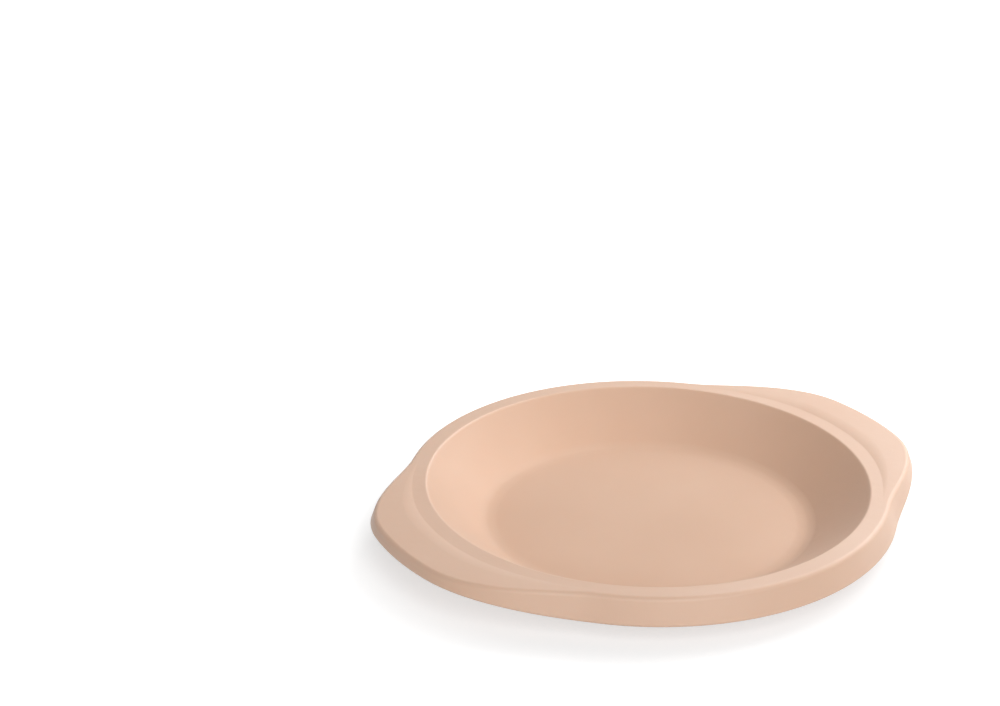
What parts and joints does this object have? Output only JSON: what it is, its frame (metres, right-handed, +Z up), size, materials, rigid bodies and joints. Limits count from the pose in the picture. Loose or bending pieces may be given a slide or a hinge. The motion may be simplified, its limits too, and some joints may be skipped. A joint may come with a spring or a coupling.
{
  "type": "silicone bread mould",
  "caption": "Shallow round baking mould of soft silicone, with a thick rim that widens into opposed handle lobes, a hanging skirt and a wire hoop inside the rim.",
  "frame": {"origin": "centre of the foot, on the surface that the mould stands on", "axes": "+X along the line through both handle lobes, +Z up out of the bowl"},
  "size_m": [0.2982, 0.2582, 0.0263],
  "materials": {
    "silicone": "matt, fine moulded grain",
    "hoop_steel": "bright drawn wire"
  },
  "bodies": {
    "root": {"silicone_shell": "silicone", "rim_hoop": "hoop_steel"}
  },
  "joints": []
}
